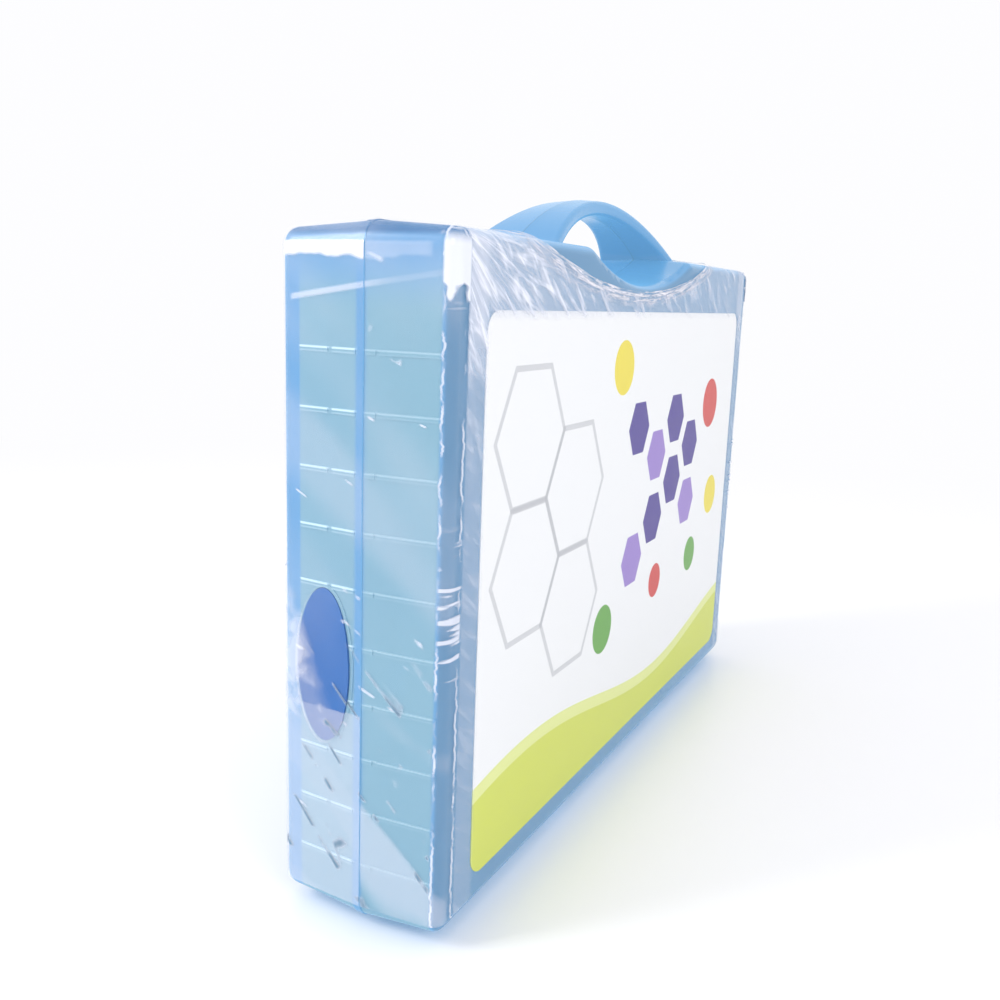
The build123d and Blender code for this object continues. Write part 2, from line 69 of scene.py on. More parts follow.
class Sock:
    """An output of a shader node that takes part in Python arithmetic."""

    def __init__(self, shader: "Shader", socket: bpy.types.NodeSocket) -> None:
        """Wraps a socket of the shader's tree."""
        self.shader = shader
        self.socket = socket

    def math(self, operation: str, *others: Any) -> "Sock":
        """Adds a Math node on this value.

        Args:
            operation: The Math node's operation.
            others: Further operands, as numbers or sockets.

        Returns:
            The node's value.
        """
        return self.shader.node("ShaderNodeMath", {"operation": operation}, {
            n: v for n, v in enumerate((self, *others))})

    def __add__(self, other: Any) -> "Sock":
        """Adds a number, a value or a triple."""
        if isinstance(other, tuple):
            return self.shader.node("ShaderNodeVectorMath", {"operation": "ADD"}, {0: self, 1: other})
        return self.math("ADD", other)

    __radd__ = __add__

    def __mul__(self, other: Any) -> "Sock":
        """Multiplies."""
        return self.math("MULTIPLY", other)

    def __sub__(self, other: Any) -> "Sock":
        """Subtracts."""
        return self.math("SUBTRACT", other)

    def __rsub__(self, other: Any) -> "Sock":
        """Subtracts this value from a number."""
        return self.shader.node("ShaderNodeMath", {"operation": "SUBTRACT"}, {0: other, 1: self})

    def __truediv__(self, other: Any) -> "Sock":
        """Divides."""
        return self.math("DIVIDE", other)

    def __pow__(self, other: Any) -> "Sock":
        """Raises to a power."""
        return self.math("POWER", other)

    def __abs__(self) -> "Sock":
        """Drops the sign."""
        return self.math("ABSOLUTE")

    def low(self, other: Any) -> "Sock":
        """The lesser of two values."""
        return self.math("MINIMUM", other)

    def high(self, other: Any) -> "Sock":
        """The greater of two values."""
        return self.math("MAXIMUM", other)

    def line(self, middle: Any, half: float) -> "Sock":
        """A soft line round a middle value: 1 nearer than half of half, 0 farther than twice half."""
        return abs(self - middle).ramp(2.0 * half, 0.5 * half)

    def ramp(self, start: float, end: float) -> "Sock":
        """Maps start..end to 0..1, clamped, with eased ends.

        Args:
            start: The value that gives 0.
            end: The value that gives 1, which may be the lesser of the two.

        Returns:
            The mapped value.
        """
        flip = start > end
        low, high = (end, start) if flip else (start, end)
        mapped = self.shader.node(
            "ShaderNodeMapRange", {"interpolation_type": "SMOOTHSTEP", "clamp": True},
            {"Value": self, "From Min": low, "From Max": high})
        return 1.0 - mapped if flip else mapped


class Shader:
    """A material's node tree, built from Python expressions."""

    def __init__(self, name: str) -> None:
        """Starts an empty node material."""
        self.material = bpy.data.materials.new(name)
        self.material.use_nodes = True
        self.tree = self.material.node_tree
        self.tree.nodes.clear()
        self._place: Sock | None = None
        self._axes: tuple[Sock, Sock, Sock] | None = None

    def node(self, kind: str, settings: dict[str, Any] | None = None,
             inputs: dict[Any, Any] | None = None, output: Any = 0) -> Sock:
        """Adds a node.

        Args:
            kind: The node's type name.
            settings: Properties of the node, set before its sockets.
            inputs: Values or links of its sockets, by name or number.
            output: The name or number of the output that is wanted.

        Returns:
            The wanted output.
        """
        made = self.tree.nodes.new(kind)
        for key, value in (settings or {}).items():
            setattr(made, key, value)
        for key, value in (inputs or {}).items():
            if isinstance(value, Sock):
                self.tree.links.new(value.socket, made.inputs[key])
            else:
                made.inputs[key].default_value = value
        return Sock(self, made.outputs[output])

    def place(self) -> Sock:
        """The point on the piece, in its own metres."""
        if self._place is None:
            self._place = self.node("ShaderNodeTexCoord", output="Object")
        return self._place

    def axes(self) -> tuple[Sock, Sock, Sock]:
        """Splits the point on the piece.

        Returns:
            Its x, y and z in millimetres.
        """
        if self._axes is None:
            scaled = self.node("ShaderNodeVectorMath", {"operation": "SCALE"},
                               {0: self.place(), "Scale": 1000.0})
            self._axes = self.split(scaled)
        return self._axes

    def split(self, vector: Sock) -> tuple[Sock, Sock, Sock]:
        """The three numbers of a vector."""
        outs = self.node("ShaderNodeSeparateXYZ", None, {0: vector}).socket.node.outputs
        return Sock(self, outs[0]), Sock(self, outs[1]), Sock(self, outs[2])

    def vector(self, x: Any, y: Any, z: Any) -> Sock:
        """Joins three numbers into a vector."""
        return self.node("ShaderNodeCombineXYZ", None, {0: x, 1: y, 2: z})

    def stretched(self, vector: Sock, scale: Triple) -> Sock:
        """A vector, scaled along each axis."""
        return self.node("ShaderNodeVectorMath", {"operation": "MULTIPLY"}, {0: vector, 1: scale})

    def turned(self, turn: Triple, scale: Triple) -> Sock:
        """Turns the point on the piece, and then scales it.

        Args:
            turn: Degrees about each axis.
            scale: Factor along each axis.

        Returns:
            The new point.
        """
        angles = tuple(math.radians(a) for a in turn)
        spun = self.node("ShaderNodeMapping", {"vector_type": "POINT"},
                         {"Vector": self.place(), "Rotation": angles})
        return self.stretched(spun, scale)

    def noise(self, scale: float, detail: float = 2.0, roughness: float = 0.5,
              distortion: float = 0.0, vector: Sock | None = None) -> Sock:
        """Makes smooth random values round 0.5.

        Args:
            scale: How fine they are, in waves to a metre or to a unit of the vector.
            detail: How many finer octaves are added.
            roughness: How strong those are.
            distortion: How far the pattern is warped.
            vector: Where the values are read, if not at the point on the piece.

        Returns:
            The values.
        """
        return self.node("ShaderNodeTexNoise", None, {
            "Vector": vector or self.place(), "Scale": scale, "Detail": detail,
            "Roughness": roughness, "Distortion": distortion})

    def mix(self, factor: Any, first: Any, second: Any) -> Sock:
        """Mixes two colours.

        Args:
            factor: 0 gives the first, 1 the second.
            first: A colour or a socket.
            second: A colour or a socket.

        Returns:
            The mixed colour.
        """
        made = self.node("ShaderNodeMix", {"data_type": "RGBA"}, {0: factor})
        mixer = made.socket.node
        for index, value in ((6, first), (7, second)):
            if isinstance(value, Sock):
                self.tree.links.new(value.socket, mixer.inputs[index])
            else:
                mixer.inputs[index].default_value = (*value, 1.0)
        return Sock(self, mixer.outputs[2])

    def bump(self, height: Sock, strength: float, distance: float) -> Sock:
        """A normal that follows a height, with the given share of a distance in metres."""
        return self.node("ShaderNodeBump", None, {
            "Height": height, "Strength": strength, "Distance": distance})

    def surface(self, **inputs: Any) -> bpy.types.Material:
        """Ends the tree in a Principled surface.

        Args:
            inputs: Socket names with underscores for spaces, and their values.

        Returns:
            The finished material.
        """
        named = {key.replace("_", " "): (*v, 1.0) if isinstance(v, tuple) and len(v) == 3 else v
                 for key, v in inputs.items()}
        lit = self.node("ShaderNodeBsdfPrincipled", None, named)
        self.close(lit)
        return self.material

    def close(self, surface: Sock) -> None:
        """Links a surface to the material's output."""
        end = self.tree.nodes.new("ShaderNodeOutputMaterial")
        self.tree.links.new(surface.socket, end.inputs["Surface"])


# -------------------------------------------------------------------------------------- finishes


@dataclass(frozen=True)
class CasePlastic:
    """Translucent sky-blue moulding: paler on the ribbed end walls, steel blue on the broad faces.

    The light that shines through the plastic is a painted glow, a faint emission of its own. The top carries
    painted shade, and the ribs' edges carry painted highlights.
    """

    name: str = "case_blue"
    clear_blue: Colour = (0.035, 0.14, 0.34)
    pale_wall: Colour = (0.15, 0.28, 0.35)
    steel_face: Colour = (0.06, 0.15, 0.27)
    # Painted shade darkens the top. The same colour draws the dark seam line at the parting plane.
    painted_shade_top_and_seam: Colour = (0.01, 0.07, 0.19)
    # Painted highlight on the edges of the ribs.
    painted_rib_highlight: Colour = (0.66, 0.80, 0.86)
    # Painted glow: colours of light shining through the plastic, given as emission at the strength glow,
    # dimmer on the top.
    painted_glow_clear: Colour = (0.11, 0.27, 0.39)
    painted_glow_wall: Colour = (0.09, 0.19, 0.26)
    painted_glow_steel: Colour = (0.055, 0.135, 0.22)
    painted_glow_top: Colour = (0.02, 0.12, 0.26)
    glow: float = 0.85
    alpha: float = 0.86
    roughness: float = 0.22
    end_x: float = 216.5
    parting_y: float = -3.2
    face_y: float = 41.2
    face_soft: float = 1.7
    wall_top_z: float = 296.0
    wall_depth: Span = (34.8, 33.2)
    wall_fade: float = 26.0
    rim_off: float = 2.0
    rim_half: float = 1.9
    corner_x: Span = (203.0, 208.0)
    corner_y: Span = (-37.5, -39.5)
    # Where the painted shade on the top and the dark seam line lie.
    top_x: Span = (196.0, 206.0)
    split_z: Span = (300.0, 303.0)
    split_half: float = 0.35
    rib_top_z: float = 255.1
    rib_pitch: float = 24.84
    rib_edge: float = 0.8
    rib_line: float = 0.32
    rib_break_y: float = 14.4
    rib_break_half: float = 0.8

    def build(self) -> bpy.types.Material:
        """Builds the material.

        Returns:
            The finished material.
        """
        shader = Shader(self.name)
        x, y, z = shader.axes()
        depth = abs(y - self.parting_y)
        clouds = shader.noise(9.0, 1.0, 0.5)
        on_end = abs(x).ramp(self.end_x - 1.5, self.end_x)
        panel = on_end * depth.ramp(*self.wall_depth)
        panel = panel * z.ramp(self.wall_top_z, self.wall_top_z - self.wall_fade)
        panel = panel * (1.0 - y.line(self.parting_y + self.rim_off, self.rim_half))
        corner = abs(x).ramp(*self.corner_x) * y.ramp(*self.corner_y)
        face = abs(y).ramp(self.face_y - self.face_soft, self.face_y).high(corner)
        face = face * z.ramp(self.wall_top_z + 9.0, self.wall_top_z + 3.0)
        colour = shader.mix(face, self.clear_blue, self.steel_face)
        # Painted shade on the top, and a dark seam line along the parting plane near the top.
        top = z.ramp(self.wall_top_z + 3.5, self.wall_top_z + 6.5) * abs(x).ramp(*self.top_x)
        split = y.line(self.parting_y, self.split_half) * z.ramp(*self.split_z) * 0.7
        colour = shader.mix(top.high(split), colour, self.painted_shade_top_and_seam)
        colour = shader.mix(panel * (clouds * 0.35 + 0.75), colour, self.pale_wall)
        # Painted highlights on the ribs' edges.
        colour = shader.mix(self.rib_highlights(y, z) * panel, colour, self.painted_rib_highlight)
        # Painted glow of light through the plastic: steel on the faces, paler on the end walls, dimmer on
        # the top.
        through = shader.mix(face, self.painted_glow_clear, self.painted_glow_steel)
        through = shader.mix(panel, shader.mix(top, through, self.painted_glow_top), self.painted_glow_wall)
        return shader.surface(
            Base_Color=colour, Roughness=clouds * 0.08 + (self.roughness - 0.04), Alpha=self.alpha, IOR=1.49,
            Emission_Color=through, Emission_Strength=self.glow)

    def rib_highlights(self, y: Sock, z: Sock) -> Sock:
        """Painted highlights: the light caught on the upper and, more faintly, the lower edge of each rib of
        the end walls.

        Args:
            y: Place along the case's depth.
            z: Height.

        Returns:
            The painted highlight's strength, weaker on the lid's half and broken once on the base's.
        """
        step = (self.rib_top_z - z + self.rib_pitch * 0.5) / self.rib_pitch
        below = (step.math("FRACT") - 0.5) * self.rib_pitch
        upper = (below + self.rib_edge).line(0.0, self.rib_line)
        edges = upper + below.line(self.rib_edge, self.rib_line) * 0.3
        by_half = y.ramp(self.parting_y, self.parting_y + 3.0) * 0.55 + 0.3
        unbroken = 1.0 - y.line(self.rib_break_y, self.rib_break_half) * 0.8
        return edges * by_half * unbroken * z.ramp(self.rib_top_z + 4.0, self.rib_top_z + 2.0)


@dataclass(frozen=True)
class OpaquePlastic:
    """Opaque moulding with a fine grain."""

    name: str
    colour: Colour
    shade: Colour
    roughness: float = 0.4
    gloss: float = 0.3

    def build(self) -> bpy.types.Material:
        """Builds the material.

        Returns:
            The finished material.
        """
        shader = Shader(self.name)
        clouds = shader.noise(14.0, 3.0, 0.6)
        grain = shader.noise(900.0, 2.0, 0.5)
        return shader.surface(
            Base_Color=shader.mix(clouds.ramp(0.35, 0.7), self.colour, self.shade),
            Roughness=clouds * 0.12 + (self.roughness - 0.06), Specular_IOR_Level=self.gloss,
            Normal=shader.bump(grain, 0.2, 0.0001))


@dataclass(frozen=True)
class Steel:
    """Drawn steel of the pins, springs and screws, with fine streaks along the case's width."""

    name: str = "steel"
    colour: Colour = (0.55, 0.56, 0.58)
    streaks: Triple = (40.0, 2500.0, 2500.0)

    def build(self) -> bpy.types.Material:
        """Builds the material.

        Returns:
            The finished material.
        """
        shader = Shader(self.name)
        drawn = shader.noise(1.0, 2.0, 0.5, vector=shader.turned((0, 0, 0), self.streaks))
        return shader.surface(Base_Color=self.colour, Metallic=1.0, Roughness=drawn * 0.2 + 0.22)


class Motif(Enum):
    """Shapes that are printed on the label."""

    DISC = "disc"
    CELL = "cell"
    OUTLINE = "outline"


@dataclass(frozen=True)
class Print:
    """One printed shape, in millimetres from the label's lower left corner."""

    motif: Motif
    u: float
    v: float
    radius: float
    colour: Colour


@dataclass(frozen=True)
class LabelPrint:
    """Satin printed sheet: white ground, lime wave and a loose scatter of cells and discs."""

    name: str = "label_print"
    left: float = -192.5
    bottom: float = 21.0
    ground: Colour = (0.82, 0.83, 0.84)
    lime: Colour = (0.60, 0.66, 0.09)
    pale_lime: Colour = (0.72, 0.77, 0.30)
    violet: Colour = (0.06, 0.035, 0.27)
    lilac: Colour = (0.30, 0.20, 0.56)
    red: Colour = (0.60, 0.05, 0.04)
    yellow: Colour = (0.78, 0.66, 0.05)
    green: Colour = (0.12, 0.36, 0.05)
    grey: Colour = (0.40, 0.41, 0.44)
    wave_turn: float = 0.017
    wave_start: float = 0.6
    wave_high: float = 11.0
    wave_middle: float = 30.0
    pale_band: Span = (7.3, 7.0)
    lime_edge: Span = (0.15, -0.15)
    outline_r: float = 36.0
    cell_r: float = 19.0
    cell_gap: float = 1.5
    stroke: float = 1.4
    stroke_ink: float = 0.55
    blur: float = 0.2

    def shapes(self) -> list[Print]:
        """Lays out the print.

        Returns:
            The printed shapes, back to front.
        """
        outlines = [(46.0, 196.0), (100.0, 165.0), (46.0, 133.0), (100.0, 102.0)]
        cells = [
            (190.0, 186.0, self.violet), (224.0, 166.4, self.lilac), (224.0, 127.0, self.violet),
            (258.0, 186.0, self.violet), (258.0, 146.6, self.violet), (292.0, 127.0, self.lilac),
            (292.0, 166.4, self.violet), (190.0, 107.4, self.lilac)]
        discs = [
            (160.0, 222.0, 15.0, self.yellow), (335.0, 190.0, 17.0, self.red),
            (352.0, 122.0, 14.0, self.yellow), (148.0, 76.0, 14.0, self.green),
            (310.0, 86.0, 12.0, self.green), (236.0, 84.0, 11.0, self.red)]
        return (
            [Print(Motif.OUTLINE, u, v, self.outline_r, self.grey) for u, v in outlines]
            + [Print(Motif.CELL, u, v, self.cell_r, colour) for u, v, colour in cells]
            + [Print(Motif.DISC, *disc) for disc in discs])

    def build(self) -> bpy.types.Material:
        """Builds the material.

        Returns:
            The finished material.
        """
        shader = Shader(self.name)
        x, _, z = shader.axes()
        u, v = x - self.left, z - self.bottom
        crest = (u * self.wave_turn + self.wave_start).math("SINE") * self.wave_high + self.wave_middle
        colour = shader.mix((v - crest).ramp(*self.pale_band), self.ground, self.pale_lime)
        for shape in self.shapes():
            mask = self.mask(u - shape.u, v - shape.v, shape)
            colour = shader.mix(mask, colour, shape.colour)
        colour = shader.mix((v - crest).ramp(*self.lime_edge), colour, self.lime)
        rough = shader.noise(20.0, 1.0, 0.5) * 0.08 + 0.30
        return shader.surface(Base_Color=colour, Roughness=rough, Specular_IOR_Level=0.2)

    def mask(self, across: Sock, up: Sock, shape: Print) -> Sock:
        """1 inside a printed shape.

        Args:
            across: Distance right of its middle.
            up: Distance above its middle.
            shape: The shape.

        Returns:
            The mask.
        """
        if shape.motif is Motif.DISC:
            reach = (across * across + up * up) ** 0.5
            return reach.ramp(shape.radius + self.blur, shape.radius - self.blur)
        flat_share = math.cos(math.radians(30.0))
        flat = shape.radius * flat_share
        across, up = abs(across), abs(up)
        reach = (across * flat_share + up * 0.5).high(up)
        if shape.motif is Motif.OUTLINE:
            return abs(reach - flat).ramp(self.stroke + self.blur, self.stroke - self.blur) * self.stroke_ink
        edge = flat - self.cell_gap
        return reach.ramp(edge + self.blur, edge - self.blur)


@dataclass(frozen=True)
class ShrinkFilm:
    """Clear wrap: a faint veil with creases, gathers and hazy bands, tightest over the corners.

    Much of its whiteness is painted light: painted glints on the creases and the rays, painted highlights
    over the corners and the top edge, and a painted reflection near the top. The dark creases carry painted
    shade.

    The corner that the rays fan out from is given as x and z, and the middle of the oval as y and z.
    """

    name: str = "film_clear"
    tint: Colour = (0.84, 0.87, 0.97)
    # Painted shade, used for the dark creases.
    shade: Colour = (0.16, 0.27, 0.38)
    roughness: float = 0.12
    veil: float = 0.025
    milkiest: float = 0.92
    end_x: Span = (212.0, 217.0)
    end_y: Span = (-37.5, -36.0)
    crease_stretch: Triple = (1.0, 5.0, 64.0)
    # The light creases carry painted glints, and the dark creases carry painted shade.
    crease_line: Span = (0.030, 0.008)
    light_slant: float = -24.0
    light_gap: float = 0.60
    dark_slant: float = -47.0
    dark_gap: float = 0.50
    dark_z: Span = (136.0, 104.0)
    ray_corner: Pair = (-226.0, 308.0)
    ray_reach: Span = (200.0, 30.0)
    ray_slant: float = -38.0
    ray_stretch: Triple = (30.0, 1.0, 170.0)
    face_y: Span = (-36.5, -40.5)
    face_x: Span = (209.5, 207.0)
    # Where the painted highlight beside the label starts to rise.
    face_side: Span = (190.0, 197.0)
    upper_z: Span = (238.0, 272.0)
    label_top: Span = (268.0, 274.0)
    label_left: Span = (-190.5, -193.5)
    label_right: Span = (197.0, 200.0)
    gather_y: float = -38.2
    gather_x: Span = (206.0, 212.0)
    fold_x: float = 210.6
    fold_y: Span = (-39.5, -41.5)
    arc_stretch: Triple = (0.04, 0.05, 0.36)
    arc_x: Span = (208.0, 210.5)
    arc_y: Span = (-37.5, -39.0)
    arc_foot: Span = (118.0, 130.0)
    arc_head: Span = (190.0, 172.0)
    arc_top: Span = (268.0, 282.0)
    rag: float = 7.0
    # Places of the painted highlights: glare over the lid's upper corners, edge along the top edge.
    glare_z: float = 276.0
    glare_high: float = 20.0
    glare_end: Span = (303.0, 297.0)
    glare_x: Span = (207.0, 209.0)
    glare_y: Span = (-37.0, -38.6)
    edge_z: float = 292.2
    edge_end: Span = (298.6, 297.0)
    edge_x: Span = (210.0, 216.0)
    edge_front: Span = (-34.0, -31.0)
    edge_back: Span = (39.5, 37.0)
    # Place of the painted reflection near the top of the end walls.
    painted_reflection_z: float = 280.8
    painted_reflection_fall: float = 0.15
    soft_slant: float = -42.0
    soft_stretch: Triple = (1.0, 7.0, 24.0)
    oval: Pair = (17.3, 120.0)
    oval_top: Span = (162.0, 140.0)
    oval_foot: Span = (80.0, 100.0)
    haze_top: float = 102.0
    haze_y: Span = (-3.5, -2.5)
    fold_z: Span = (112.0, 84.0)

    def build(self) -> bpy.types.Material:
        """Builds the material.

        Returns:
            The finished material.
        """
        shader = Shader(self.name)
        x, y, z = shader.axes()
        ripple = shader.noise(60.0, 2.0, 0.6)
        on_end = abs(x).ramp(*self.end_x)
        wall = on_end * y.ramp(*self.end_y)
        # Painted glints on the light creases of the end walls.
        light = self.creases(shader, ripple, self.light_slant, self.light_gap) * wall
        # Painted shade in the dark creases: they are tinted with shade and made a little milky.
        dark = self.creases(shader, ripple, self.dark_slant, self.dark_gap) * wall * z.ramp(*self.dark_z)
        # The milkiness is partly the wrap's own haze and gathers, and partly painted glints, highlights and
        # a reflection.
        milky = (light * 0.4).high(self.corner_rays(shader, x, y, z)).high(dark * 0.5)
        milky = milky.high(self.gathers(shader, x, y, z, ripple)).high(self.painted_glare(x, y, z, ripple))
        alpha = (milky + self.bands(shader, y, z, ripple) * on_end + self.veil).low(self.milkiest)
        return shader.surface(
            Base_Color=shader.mix(dark, self.tint, self.shade), Alpha=alpha, IOR=1.45,
            Roughness=self.roughness, Normal=shader.bump(ripple, 0.4, 0.0006))

    def creases(self, shader: Shader, ripple: Sock, turn: float, gap: float) -> Sock:
        """Fine slanting creases of the end walls, here and there.

        Args:
            shader: The material being built.
            ripple: Random values that leave gaps.
            turn: The slant, in degrees. It also picks the place in the noise.
            gap: How much is left bare.

        Returns:
            1 on a crease.
        """
        spread = shader.turned((turn, 0.0, 0.0), self.crease_stretch)
        waves = shader.noise(1.0, 1.0, 0.4, vector=spread + (turn, turn, turn))
        return abs(waves - 0.5).ramp(*self.crease_line) * ripple.ramp(gap, gap + 0.08)

    def corner_rays(self, shader: Shader, x: Sock, y: Sock, z: Sock) -> Sock:
        """Lavender haze and soft creases that fan out from the upper left corner over the lid's face,
        whitened with painted glints, with a painted highlight on the strips beside the label.

        Args:
            shader: The material being built.
            x: Place along the case's width.
            y: Place along its depth.
            z: Height.

        Returns:
            How milky the film is, 0 over the label and off the face.
        """
        across, down = x - self.ray_corner[0], z - self.ray_corner[1]
        angle = down.math("ARCTAN2", across)
        reach = (across * across + down * down) ** 0.5
        fan = shader.noise(1.0, 3.0, 0.65, 0.5, vector=shader.vector(angle * 15.0, reach * 0.022, 0.0))
        leaning = shader.turned((0.0, self.ray_slant, 0.0), self.ray_stretch)
        slant = shader.noise(1.0, 3.0, 0.6, 0.5, vector=leaning)
        near = reach.ramp(*self.ray_reach)
        # Haze, with a painted highlight that rises towards the ends of the face beside the label.
        haze = near * 0.12 + abs(x).ramp(*self.face_side) * 0.16 + 0.10
        # Painted glints on the creases.
        streaks = fan.ramp(0.46, 0.70) * near * 0.50 + slant.ramp(0.48, 0.72) * (near * 0.25 + 0.34)
        on_face = y.ramp(*self.face_y) * abs(x).ramp(*self.face_x)
        upper = z.ramp(*self.upper_z) * 0.7 + 0.3
        off_label = z.ramp(*self.label_top).high(x.ramp(*self.label_left)).high(x.ramp(*self.label_right))
        return (haze + streaks) * on_face * off_label * upper

    def gathers(self, shader: Shader, x: Sock, y: Sock, z: Sock, ripple: Sock) -> Sock:
        """Wavy gathers along the rounded upright edges of the lid, with short wrinkles between them.

        Args:
            shader: The material being built.
            x: Place along the case's width.
            y: Place along its depth.
            z: Height.
            ripple: Random values that break the gathers.

        Returns:
            How milky the film is.
        """
        sway = shader.noise(1.0, 3.0, 0.75, vector=shader.vector(0.0, 0.0, z * 0.13)) - 0.5
        edge = y.line(self.gather_y + sway * 5.0, 0.34) * abs(x).ramp(*self.gather_x)
        fold = abs(x).line(self.fold_x + sway * 8.0, 0.45) * y.ramp(*self.fold_y)
        lines = (edge * 0.5).high(fold * 0.55) * ripple.ramp(0.40, 0.60)
        along, deep, up = self.arc_stretch
        arcs = shader.noise(1.0, 1.0, 0.5, vector=shader.vector(x * along, y * deep, z * up))
        low = z.ramp(*self.arc_foot) * z.ramp(*self.arc_head) * 0.55 + z.ramp(*self.arc_top) * 0.45
        strip = abs(x).ramp(*self.arc_x) * y.ramp(*self.arc_y)
        return lines.high(arcs.ramp(0.56, 0.66) * low * strip)

    def painted_glare(self, x: Sock, y: Sock, z: Sock, ripple: Sock) -> Sock:
        """Painted highlights on the wrap, ragged below, over the lid's upper corners and the case's top
        edge.

        Args:
            x: Place along the case's width.
            y: Place along its depth.
            z: Height.
            ripple: Random values that make the lower border ragged.

        Returns:
            How milky the film is.
        """
        ragged = (ripple - 0.5) * self.rag
        # Painted highlight over the lid's upper corners.
        corner = ((z - self.glare_z) / self.glare_high + ragged).ramp(0.10, 0.55) * z.ramp(*self.glare_end)
        corner = corner * abs(x).ramp(*self.glare_x) * y.ramp(*self.glare_y) * 0.85
        # Painted highlight along the top edge, stronger on the base's half.
        edge = (z - self.edge_z + ragged * 0.9).ramp(-1.0, 1.0) * z.ramp(*self.edge_end)
        edge = edge * abs(x).ramp(*self.edge_x)
        by_half = y.ramp(-3.4, -2.6) * 0.76 + 0.10
        return corner.high(edge * by_half * y.ramp(*self.edge_front) * y.ramp(*self.edge_back))

    def bands(self, shader: Shader, y: Sock, z: Sock, ripple: Sock) -> Sock:
        """Hazy bands on the end walls, a slanting line near the top that is a painted reflection, and a veil
        over and below the oval.

        Args:
            shader: The material being built.
            y: Place along the case's depth.
            z: Height.
            ripple: Random values that make the veil uneven.

        Returns:
            How milky the film is.
        """
        soft = shader.noise(
            1.0, 1.0, 0.5, vector=shader.turned((self.soft_slant, 0.0, 0.0), self.soft_stretch))
        # Painted reflection: a thin slanting line near the top of the end walls.
        slanting = (z + y * self.painted_reflection_fall).line(self.painted_reflection_z, 0.9) * (y.ramp(-20.0, 6.0) * 0.22 + 0.06)
        slanting = slanting * y.ramp(36.0, 33.0)
        low_left = ((self.oval[1] - z) * 0.4 + (y - self.oval[0])).ramp(0.0, 12.0)
        veil = low_left * (ripple.ramp(0.36, 0.54) * 0.26 + 0.08)
        veil = veil * z.ramp(*self.oval_top) * z.ramp(*self.oval_foot)
        haze = z.ramp(self.haze_top, self.haze_top - 1.2) * y.ramp(*self.haze_y) * 0.17
        folds = soft.ramp(0.46, 0.52) * z.ramp(*self.fold_z) * 0.20
        return (soft.ramp(0.46, 0.70) * 0.08 + slanting).high(veil).high(haze).high(folds)


@dataclass(frozen=True)
class CutEdge:
    """Crumpled cut edge of the wrap, milky and a little pink."""

    name: str = "film_edge"
    pale: Colour = (0.93, 0.88, 0.93)
    shade: Colour = (0.62, 0.70, 0.84)
    stretch: Triple = (2.2, 7.0, 1.0)
    fade: Span = (1.0, 0.35)

    def build(self) -> bpy.types.Material:
        """Builds the material.

        Returns:
            The finished material.
        """
        shader = Shader(self.name)
        flow = shader.node("ShaderNodeUVMap", {"uv_map": "flow"})
        streaks = shader.noise(1.0, 4.0, 0.7, 0.8, vector=shader.stretched(flow, self.stretch))
        _, across, _ = shader.split(flow)
        fade = across.ramp(*self.fade)
        alpha = (streaks.ramp(0.42, 0.64) * 0.72 + 0.08) * fade
        return shader.surface(
            Base_Color=shader.mix(streaks.ramp(0.3, 0.6), self.shade, self.pale), Alpha=alpha,
            Roughness=0.16, Normal=shader.bump(streaks, 0.6, 0.001))


# ---------------------------------------------------------------------------------- film's edge


class Half(Enum):
    """The two halves of the case."""

    LID = (-1.0, "lid", 0.0384)
    BASE = (1.0, "case", 0.0448)

    def __init__(self, sign: float, body: str, depth: float) -> None:
        """Names the values: the sign of the depth direction, the body, and the depth in metres."""
        self.sign = sign
        self.body = body
        self.depth = depth


